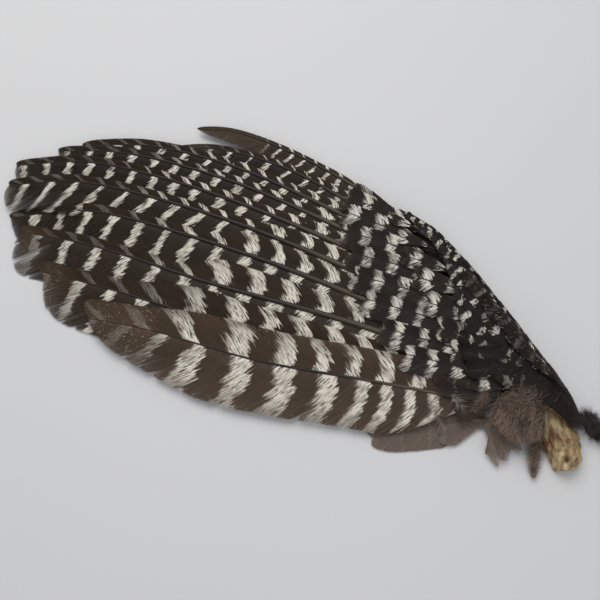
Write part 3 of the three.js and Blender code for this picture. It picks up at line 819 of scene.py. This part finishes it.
def add_strands(sheet, roots, directions, lengths, width, droop, rng):
    """Thin curved strands, each a ribbon that bends to one side and down; neighbours share a tone."""
    count = len(roots)
    share = np.linspace(0, 1, 6)
    directions = unit(directions)
    side = unit(np.cross(directions, np.array([0.0, 0.0, 1.0]) + rng.normal(0, 0.2, (count, 3))))
    bend = rng.normal(0, 0.35, count)
    reach = lengths[:, None] * share
    line = roots[:, None] + directions[:, None] * reach[..., None]
    line = line + side[:, None] * (bend[:, None] * lengths[:, None] * share**2)[..., None]
    line[..., 2] = np.maximum(line[..., 2] - droop * lengths[:, None] * share**2, GROUND_GAP)
    half = width * (1 - 0.85 * share)[:, None] * np.array([-0.5, 0.5])
    points = line[:, :, None] + side[:, None, None] * half[None, ..., None]
    tone = (roots[:, 0] + rng.normal(0, 1.2, count))[:, None, None]
    grain = vector(tone, roots[:, 1, None, None] + 0.3 * reach[:, :, None], roots[:, 2, None, None])
    marks = vector(0, 0, share[None, :, None])
    side_count = int(np.ceil(np.sqrt(count)))
    row, column = np.divmod(np.arange(count)[:, None, None], side_count)
    u, v = column + 0.05 + 0.9 * share[None, :, None], (row + np.array([0.1, 0.9])) * 0.8
    sheet.add(points, grain, marks, vector(u, v) / side_count)


def dome_place(spec, turn, lift, wave=1.0):
    """Places on the low mound that strands stand on, and their offsets from the middle of its foot."""
    angle = np.radians(spec["turn"])
    x = spec["radius"][0] * DOME_SIZE * wave * np.cos(turn) * np.cos(lift)
    y = spec["radius"][1] * DOME_SIZE * wave * np.sin(turn) * np.cos(lift)
    z = spec["height"] * DOME_SIZE * np.sin(lift)
    offset = vector(x * np.cos(angle) - y * np.sin(angle), x * np.sin(angle) + y * np.cos(angle), z)
    return np.array([*spec["centre"], spec["bottom"]]) + offset, offset


def dome(sheet, spec):
    turn, lift = np.linspace(0, 2 * np.pi, 29)[:, None], np.linspace(0, 1, 9) * np.pi / 2
    points = dome_place(spec, turn, lift, 1 + 0.07 * np.sin(3 * turn + 3))[0]
    sheet.add(points, points * 3, (0, 0, 0.2), vector(turn / 6.2832, 0.81 + 0.18 * np.linspace(0, 1, 9)))


def plume(sheet, rng, points, height, fall, count, reach):
    """Loose barbs that stand off a downy feather's shaft on both sides."""
    shaft = Shaft(points)
    distance = rng.uniform(0, 0.9, count) * shaft.length
    place, along, across = shaft.at(distance)
    across = across * rng.choice([-1, 1], count)[:, None]
    rise = height - fall * distance + rng.uniform(-1, 1, count)
    lean = across + along * rng.uniform(0.5, 1.8, count)[:, None]
    lean = raised(lean, rng.normal(0, 0.15, count))
    reach = reach * (1 - distance / shaft.length) ** 0.5 * rng.uniform(0.6, 1.1, count)
    add_strands(sheet, raised(place, rise), lean, reach, 0.24, 0.1 + fall * 0.4, rng)


def loose(sheet, rng, roots, lean, jitter, reach, width, droop):
    """Strands from the roots, leaning one way with some disorder."""
    count = len(roots)
    directions = lean + rng.normal(0, jitter, (count, 3)) * np.array([1, 1, 0.35])
    add_strands(sheet, roots, directions, rng.uniform(*reach, count), width, droop, rng)


def down_tuft():
    """Soft strands that flow from the roots' line to the down's lower edge, and pale wisps across the top."""
    rng = default_rng(11)
    sheet = Sheet()
    dome(sheet, DOWN_TUFT)
    count, wisps = 4200, 260
    upper = Shaft([(131, -69), (140, -66), (150, -69), (157, -77), (158, -87)])
    lower = Shaft([(126, -86), (131, -95), (139, -101), (147, -97.5), (154, -96)])
    place = rng.uniform(0, 1, count)
    start, end = (line.at(place * line.length)[0] for line in (upper, lower))
    passed = rng.uniform(-0.12, 0.8, count)
    root = lerp(start, end, passed[:, None])
    away = np.sum((root - np.array([142, -80])) ** 2, axis=1)
    top = 20.6 - 0.018 * away + rng.uniform(-1.2, 0.8, count)
    lean = raised(unit(end - start) + rng.normal(0, 0.16, (count, 2)), np.full(count, -0.3))
    span = (1 - passed) * np.linalg.norm(end - start, axis=1)
    reach = np.minimum(rng.uniform(8, 14, count), span * rng.uniform(0.8, 1.05, count))
    add_strands(sheet, raised(root, top), lean, reach, 0.42, 0.08, rng)
    turn = rng.uniform(-0.5, 3.5, wisps)
    roots = np.array([146, -72, 21.3]) + rng.normal(0, 1, (wisps, 3)) * np.array([6, 3.5, 0.4])
    loose(sheet, rng, roots, vector(np.cos(turn), 0.6 * np.sin(turn), 0.05), 0.2, (5, 11), 0.22, 0.1)
    plume(sheet, rng, [(122, -62), (120, -70), (112, -80)], 15, 0.15, 260, 8)
    sheet.build("down_tuft_strands", [DOWN], "grey_down", "down_tuft")


def bristle_tuft():
    """Hair-like feathers on their mound and on the coat's end."""
    rng = default_rng(12)
    sheet = Sheet()
    dome(sheet, BRISTLE_TUFT)
    count = 800
    turn, lift = rng.uniform(0, 2 * np.pi, count), np.arcsin(rng.uniform(0, 1, count))
    roots, out = dome_place(BRISTLE_TUFT, turn, lift)
    lean = unit(out * np.array([1, 0.6, 0.6])) + np.array([0.4, -0.1, 0.1])
    loose(sheet, rng, roots, lean, 0.35, (3, 7), 0.3, 0.1)
    u = rng.uniform(0, 0.05, count)
    back, front = coat_edges(u)
    offset = lerp(back, 0.97 * front, rng.uniform(0, 1, count))
    roots = coat_place(u, offset, rng.uniform(-3.0, 0.2, count))
    loose(sheet, rng, roots, np.array([0.75, -0.6, -0.2]), 0.32, (3, 8), 0.3, 0.2)
    sheet.build("bristle_tuft_strands", [BRISTLE], "grey_down", "bristle_tuft")


def wave_noise(points, rng, scale, count=26):
    """Smooth lumps: a sum of waves in mixed directions."""
    result = np.zeros(points.shape[:-1])
    for _ in range(count):
        direction = unit(rng.normal(0, 1, 3)) * rng.uniform(0.6, 1.6) * scale
        result += np.sin(points @ direction + rng.uniform(0, 6.28))
    return result / np.sqrt(count)


def hand():
    """Bones and dried skin: the part's form with folds, torn sinew and a hollow at the cut end."""
    rng = default_rng(21)
    sheet = Sheet()
    u, turn = np.linspace(0, 1, 220)[:, None], np.linspace(0, 1, 61)
    lump = along_values(HAND["lumps"], np.minimum(1, u * 4))
    half, tall = along_values(HAND["across"], u), along_values(HAND["tall"], u)
    arch = np.clip(turn / 0.8, 0, 1) * np.pi
    under = np.clip((turn - 0.8) / 0.2, 0, 1)
    offset = half * lump * np.where(turn < 0.8, np.cos(arch), -0.9 + 1.8 * under)
    top = GROUND_GAP + (tall * lump - GROUND_GAP) * np.sin(arch) ** 0.8
    height = np.where(turn < 0.8, top, 0.15)
    place, along, across = read_curve(HAND["line"], u[:, 0])
    aside = across[:, None] * offset[..., None]
    points = raised(place[:, None] + aside, height)
    inward = unit(raised(aside, height - tall * 0.4))
    folds = np.abs(wave_noise(points * np.array([1, 0.5, 1]), rng, 0.55))
    lumps, fine = wave_noise(points, rng, 0.8), wave_noise(points, rng, 1.9)
    open_end = 1 - smoothstep(u, 0.14, 0.3)
    pit = np.exp(-(((points - np.array([171.5, -110, 13])) / np.array([2.4, 2.0, 5])) ** 2).sum(-1))
    depth = 1.2 * np.exp(-(folds**2) * 6) + 0.45 * lumps + 0.2 * fine + 3.0 * pit - 0.7
    points = points - inward * (depth * open_end)[..., None]
    points[..., 2] = np.maximum(points[..., 2], 0)
    # Painted shade for the skin material: dark in the fold lines and the pit; the second mark darkens the
    # skin where it runs under the coat.
    crease_shade = np.maximum(0.7 * np.exp(-(folds**2) * 60) * (lumps > 0), np.minimum(1, 1.6 * pit)) * open_end
    marks = vector(crease_shade, 0.9 * smoothstep(u, 0.06, 0.42), 0.0)
    sheet.add(points, points, marks, vector(0.3 + 0.7 * u, turn))

    # The cut end.
    rings = np.linspace(0, 1, 12)[:, None]
    middle = points[0].mean(0)
    cap = middle + (points[0][None] - middle) * rings[..., None]
    hollow = wave_noise(cap, rng, 0.9)
    inner = 1 - smoothstep(rings, 0.1, 0.42)
    cap[..., :2] += along[0] * (2.6 * inner + 0.7 * hollow * (1 - rings**8))[..., None]
    # Painted shade: darker towards the middle of the hollow cut end.
    marks = vector(np.clip(inner * 1.2 + 0.3 * np.abs(hollow) - 0.1, 0, 1), 0.0, 0.0)
    uv = vector(0.14 + 0.13 * rings * np.cos(turn * 6.28), 0.5 + 0.45 * rings * np.sin(turn * 6.28))
    sheet.add(cap, cap, marks, uv)

    # The skin from the coat's edge down.
    u = np.concatenate([np.linspace(0.22, 0, 30), np.zeros(20)])
    back, front = coat_edges(u)
    rim = coat_place(u, lerp(back, 0.97 * front, np.maximum(0, np.arange(50) - 29) / 20), np.array(-0.5))
    drop = np.linspace(0, 1, 9)[:, None]
    wall = np.repeat(rim[None], 9, 0)
    wall[..., 2] = lerp(rim[:, 2], 1.0, drop)
    wall[..., :2] -= 1.5 * along[0] * np.sin(np.pi * drop)[..., None]
    uv = vector(0.02 + 0.1 * drop, np.arange(50) / 49)
    # Painted shade: the wall darkens towards its foot and a little all over, under the coat's edge.
    sheet.add(wall, wall, vector(0.4 * drop, 0.35, 0.0), uv)
    sheet.build("hand_skin", [SKIN], "dried_skin", "hand")


down_tuft()
bristle_tuft()
for name, material, plumes in (
    ("wrist_down_barbs", DOWN, [(13, TRAILING_FEATHERS[-1]["shaft"], 6, 0.05, 800, 9)]),
    ("pale_wisps", WISP, [
        (14, [(99, -68), (109, -77), (118, -86)], 13, 0.25, 110, 9),
        (15, [(86, -71), (91, -82), (96, -92)], 11.5, 0.2, 90, 7),
    ]),
):
    sheet = Sheet()
    for seed, *plume_form in plumes:
        plume(sheet, default_rng(seed), *plume_form)
    sheet.build(name, [material], "grey_down")
hand()

# ---- floor, light and camera ----


def stage():
    mesh = bpy.data.meshes.new("floor")
    corners = [(-9, -9, 0), (9, -9, 0), (9, 9, 0), (-9, 9, 0)]
    mesh.from_pydata(corners, [], [(0, 1, 2, 3)])
    floor = bpy.data.objects.new("floor", mesh)
    nodes = Nodes("pale_floor")
    tone = nodes.noise(nodes.position(), 2.0)
    colour = nodes.mix(tone, (0.59, 0.6, 0.615), (0.64, 0.645, 0.655))
    roughness = nodes.ramp(tone, 0, 1, 0.6, 0.7)
    mesh.materials.append(nodes.surface(colour, roughness, nodes.bump(tone, 0.05, 0.001), 0.3))
    scene.collection.objects.link(floor)


def add_area(name, place, size, power, colour):
    """A round lamp that shines on the middle of the floor."""
    light = bpy.data.lights.new(name, "AREA")
    light.shape, light.size, light.energy, light.color = "DISK", size, power, colour
    lamp = bpy.data.objects.new(name, light)
    lamp.location = place
    lamp.rotation_euler = (-Vector(place)).to_track_quat("-Z", "Y").to_euler()
    scene.collection.objects.link(lamp)


def light_and_camera():
    world = scene.world = bpy.data.worlds.new("studio")
    world.use_nodes = True
    colour, strength = world.node_tree.nodes["Background"].inputs[:2]
    colour.default_value, strength.default_value = (0.95, 0.95, 0.97, 1), 0.46
    add_area("key", (-0.14, 0.5, 1.0), 0.9, 8.2, (1.0, 0.98, 0.95))
    add_area("fill", (0.4, -0.7, 0.9), 1.0, 1.8, (0.95, 0.97, 1.0))
    camera = bpy.data.objects.new("camera", bpy.data.cameras.new("camera"))
    data = camera.data
    data.sensor_fit, data.sensor_width, data.lens, data.clip_start = "HORIZONTAL", 36, CAMERA_LENS, 0.01
    angle = np.radians(CAMERA_ELEVATION)
    back = np.array([0, -np.cos(angle), np.sin(angle)]) * CAMERA_DISTANCE
    camera.location = SHIFT * MM + back
    camera.rotation_euler = (np.pi / 2 - angle, 0, 0)
    scene.collection.objects.link(camera)
    scene.camera = camera


stage()
light_and_camera()
